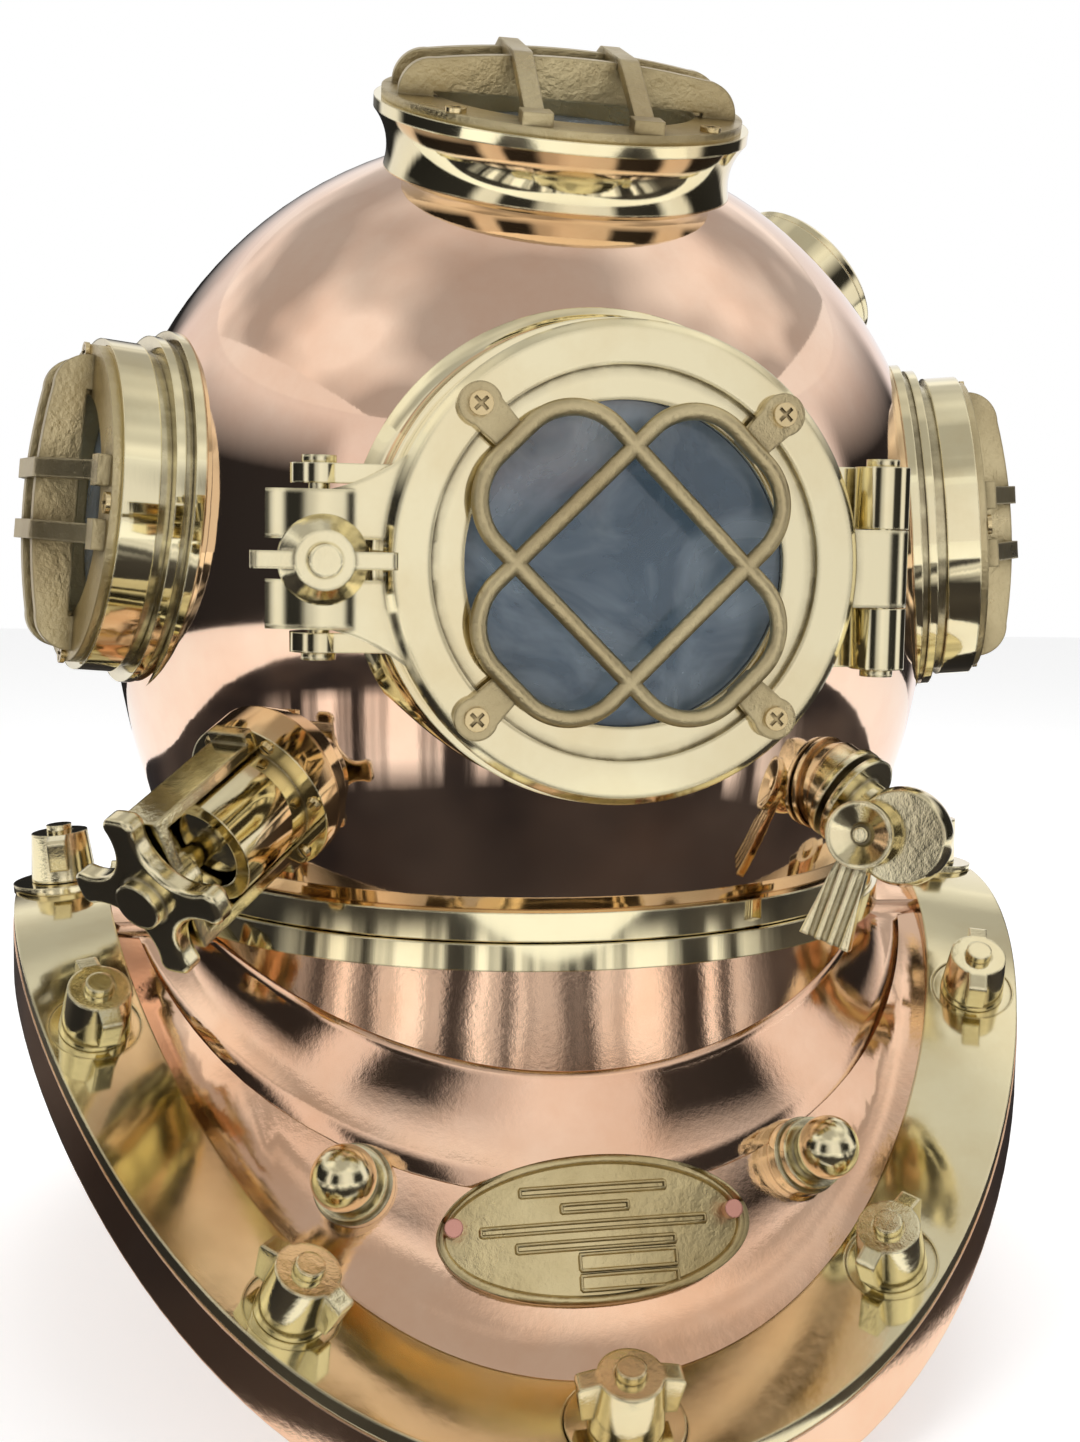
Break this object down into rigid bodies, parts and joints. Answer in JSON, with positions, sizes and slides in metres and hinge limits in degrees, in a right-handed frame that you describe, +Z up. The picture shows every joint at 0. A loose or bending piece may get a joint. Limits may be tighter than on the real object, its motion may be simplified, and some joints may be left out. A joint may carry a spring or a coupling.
{
  "type": "diving helmet",
  "caption": "Hard-hat diving helmet: copper bonnet with guarded glass ports, hinged faceplate and valves, locked by a part turn onto a breastplate clamped with straps and wing nuts.",
  "frame": {"origin": "centre of the footprint, on the surface that the helmet stands on", "axes": "+Z up, -Y the diver's front, +X the diver's left"},
  "size_m": [0.391, 0.446, 0.4675],
  "materials": {
    "copper_bonnet": "polished copper with fine lengthwise wear",
    "copper_breastplate": "polished copper, a little duller than the bonnet",
    "brass_cast": "turned and polished cast brass",
    "brass_straps": "hand-finished brass, softly dented",
    "brass_faceplate": "turned brass with concentric tool marks",
    "brass_guards": "rough cast brass with polished crests",
    "brass_fittings": "polished brass",
    "brass_screws": "worn brass",
    "brass_plate": "cast brass, darker in its hollows",
    "copper_rivets": "worn copper",
    "glass": "clear thick glass",
    "rubber": "matt",
    "leather": "oiled"
  },
  "bodies": {
    "breastplate": {"breastplate_shell": "copper_breastplate", "strap_studs": "brass_fittings", "strap_front_left": "brass_straps", "strap_front_right": "brass_straps", "strap_rear_left": "brass_straps", "strap_rear_right": "brass_straps", "strap_joint_washers": "brass_straps", "lanyard_studs": "brass_fittings", "nameplate": "brass_plate", "nameplate_rivets": "copper_rivets", "neck_gasket": "leather", "neck_ring": "brass_cast"},
    "bonnet": {"bonnet_ring": "brass_cast", "safety_fork": "brass_fittings", "bonnet_dome": "copper_bonnet", "front_port_seat": "brass_cast", "front_port_gasket": "rubber", "faceplate_pins": "brass_fittings", "port_left": "brass_cast", "port_right": "brass_cast", "port_top": "brass_cast", "port_left_glass": "glass", "port_right_glass": "glass", "port_top_glass": "glass", "port_left_guard": "brass_guards", "port_right_guard": "brass_guards", "port_top_guard": "brass_guards", "port_gaskets": "rubber", "port_guard_screws": "brass_screws", "telephone_cup": "brass_cast", "telephone_lid": "brass_cast", "air_elbow": "brass_cast", "phone_elbow": "brass_cast", "exhaust_body": "brass_cast", "exhaust_yoke": "brass_fittings", "spitcock_body": "brass_fittings"},
    "faceplate": {"faceplate_ring": "brass_faceplate", "faceplate_glass": "glass", "faceplate_glass_gasket": "rubber", "faceplate_guard": "brass_guards", "faceplate_guard_screws": "brass_screws"},
    "swing_bolt": {"swing_bolt": "brass_fittings"},
    "latch_washer": {"latch_washer": "brass_fittings"},
    "latch_nut": {"latch_nut": "brass_fittings"},
    "exhaust_handle": {"exhaust_handle": "brass_fittings"},
    "chin_button": {"chin_button": "brass_fittings"},
    "spitcock_handle": {"spitcock_handle": "brass_fittings"},
    "safety_arm": {"safety_arm": "brass_fittings"},
    "wing_nut_01": {"wing_nut_01": "brass_fittings"},
    "wing_nut_02": {"wing_nut_02": "brass_fittings"},
    "wing_nut_03": {"wing_nut_03": "brass_fittings"},
    "wing_nut_04": {"wing_nut_04": "brass_fittings"},
    "wing_nut_05": {"wing_nut_05": "brass_fittings"},
    "wing_nut_06": {"wing_nut_06": "brass_fittings"},
    "wing_nut_07": {"wing_nut_07": "brass_fittings"},
    "wing_nut_08": {"wing_nut_08": "brass_fittings"},
    "wing_nut_09": {"wing_nut_09": "brass_fittings"},
    "wing_nut_10": {"wing_nut_10": "brass_fittings"},
    "wing_nut_11": {"wing_nut_11": "brass_fittings"},
    "wing_nut_12": {"wing_nut_12": "brass_fittings"}
  },
  "joints": [
    {"name": "bonnet_turn", "type": "hinge", "parent": "breastplate", "child": "bonnet", "pos_m": [0, 0, 0.151], "axis": [0, 0, 1], "range_deg": [0, 45]},
    {"name": "faceplate_hinge", "type": "hinge", "parent": "bonnet", "child": "faceplate", "pos_m": [0.084, -0.171, 0.28], "axis": [0, 0, 1], "range_deg": [0, 120]},
    {"name": "swing_bolt_pivot", "type": "hinge", "parent": "bonnet", "child": "swing_bolt", "pos_m": [-0.089, -0.1585, 0.28], "axis": [0, 0, -1], "range_deg": [0, 100]},
    {"name": "latch_washer_slide", "type": "slide", "parent": "swing_bolt", "child": "latch_washer", "axis": [0, -1, 0], "range_m": [0, 0.006]},
    {"name": "latch_nut_turn", "type": "hinge", "parent": "latch_washer", "child": "latch_nut", "pos_m": [-0.089, -0.19, 0.28], "axis": [0, -1, 0], "range_deg": [0, 1440]},
    {"name": "exhaust_handle_turn", "type": "hinge", "parent": "bonnet", "child": "exhaust_handle", "pos_m": [-0.13733, -0.14727, 0.1774], "axis": [-0.6077, -0.6516, -0.454], "range_deg": [0, 360]},
    {"name": "chin_button_push", "type": "slide", "parent": "bonnet", "child": "chin_button", "axis": [-0.6077, -0.6516, -0.454], "range_m": [0, 0.006], "stiffness_N_per_m": 1500},
    {"name": "spitcock_turn", "type": "hinge", "parent": "bonnet", "child": "spitcock_handle", "pos_m": [0.0887, -0.1485, 0.191], "axis": [-0.5985, -0.7943, 0.1045], "range_deg": [0, 90]},
    {"name": "safety_arm_lift", "type": "hinge", "parent": "breastplate", "child": "safety_arm", "pos_m": [0, 0.149, 0.1515], "axis": [1, 0, 0], "range_deg": [0, 90]},
    {"name": "wing_nut_01_turn", "type": "hinge", "parent": "breastplate", "child": "wing_nut_01", "pos_m": [0, -0.205, 0.025], "axis": [0, -0.3078, 0.9514], "range_deg": [0, 1080]},
    {"name": "wing_nut_02_turn", "type": "hinge", "parent": "breastplate", "child": "wing_nut_02", "pos_m": [0.0964, -0.17193, 0.0537], "axis": [-0.258, -0.4294, 0.8655], "range_deg": [0, 1080]},
    {"name": "wing_nut_03_turn", "type": "hinge", "parent": "breastplate", "child": "wing_nut_03", "pos_m": [0.15909, -0.08987, 0.12033], "axis": [-0.119, -0.5044, 0.8553], "range_deg": [0, 1080]},
    {"name": "wing_nut_04_turn", "type": "hinge", "parent": "breastplate", "child": "wing_nut_04", "pos_m": [0.177, 0, 0.151], "axis": [0.0879, 0, 0.9961], "range_deg": [0, 1080]},
    {"name": "wing_nut_05_turn", "type": "hinge", "parent": "breastplate", "child": "wing_nut_05", "pos_m": [0.15909, 0.08987, 0.12033], "axis": [-0.119, 0.5044, 0.8553], "range_deg": [0, 1080]},
    {"name": "wing_nut_06_turn", "type": "hinge", "parent": "breastplate", "child": "wing_nut_06", "pos_m": [0.0964, 0.17193, 0.0537], "axis": [-0.258, 0.4294, 0.8655], "range_deg": [0, 1080]},
    {"name": "wing_nut_07_turn", "type": "hinge", "parent": "breastplate", "child": "wing_nut_07", "pos_m": [0, 0.205, 0.025], "axis": [0, 0.3078, 0.9514], "range_deg": [0, 1080]},
    {"name": "wing_nut_08_turn", "type": "hinge", "parent": "breastplate", "child": "wing_nut_08", "pos_m": [-0.0964, 0.17193, 0.0537], "axis": [0.258, 0.4294, 0.8655], "range_deg": [0, 1080]},
    {"name": "wing_nut_09_turn", "type": "hinge", "parent": "breastplate", "child": "wing_nut_09", "pos_m": [-0.15909, 0.08987, 0.12033], "axis": [0.119, 0.5044, 0.8553], "range_deg": [0, 1080]},
    {"name": "wing_nut_10_turn", "type": "hinge", "parent": "breastplate", "child": "wing_nut_10", "pos_m": [-0.177, 0, 0.151], "axis": [-0.0879, 0, 0.9961], "range_deg": [0, 1080]},
    {"name": "wing_nut_11_turn", "type": "hinge", "parent": "breastplate", "child": "wing_nut_11", "pos_m": [-0.15909, -0.08987, 0.12033], "axis": [0.119, -0.5044, 0.8553], "range_deg": [0, 1080]},
    {"name": "wing_nut_12_turn", "type": "hinge", "parent": "breastplate", "child": "wing_nut_12", "pos_m": [-0.0964, -0.17193, 0.0537], "axis": [0.258, -0.4294, 0.8655], "range_deg": [0, 1080]}
  ],
  "couplings": [
    {"joint": "latch_washer_slide", "follows": "latch_nut_turn", "m_per_rad": 0.0002387}
  ]
}
